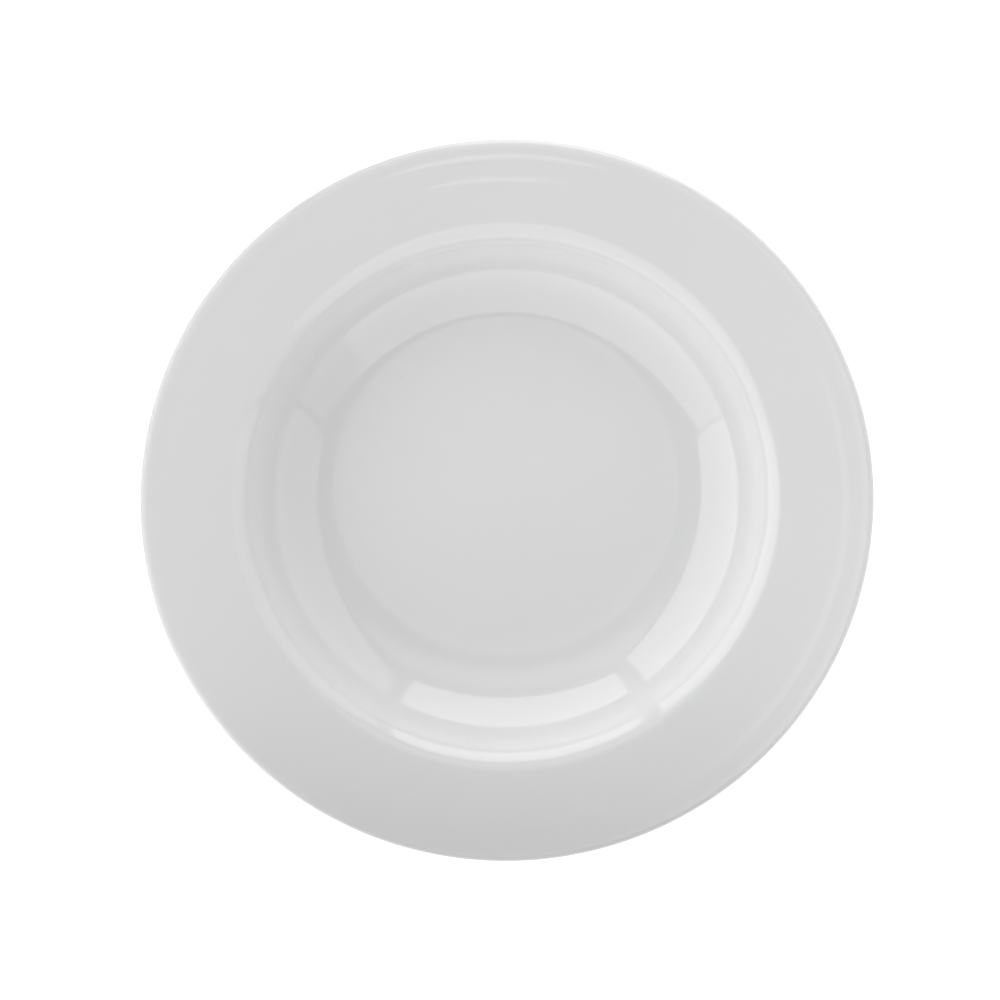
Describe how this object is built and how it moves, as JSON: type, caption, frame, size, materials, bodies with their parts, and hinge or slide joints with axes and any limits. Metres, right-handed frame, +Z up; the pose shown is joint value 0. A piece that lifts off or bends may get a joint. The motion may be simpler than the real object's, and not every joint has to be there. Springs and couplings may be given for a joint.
{
  "type": "pasta plate",
  "caption": "Round white porcelain pasta plate with a wide sloping rim, a curved well and a low foot ring, for serving pasta and other food.",
  "frame": {"origin": "centre of the foot ring, on the plane of the table", "axes": "+Z up along the axis about which the plate is turned; X and Y lie in the table's plane and are alike"},
  "size_m": [0.3, 0.3, 0.048],
  "materials": {
    "porcelain": "matte, ground smooth and unglazed at the foot",
    "glaze": "clear gloss over white"
  },
  "bodies": {
    "root": {"porcelain_body": "porcelain", "glaze_coat": "glaze", "foot_well_glaze": "glaze"}
  },
  "joints": []
}
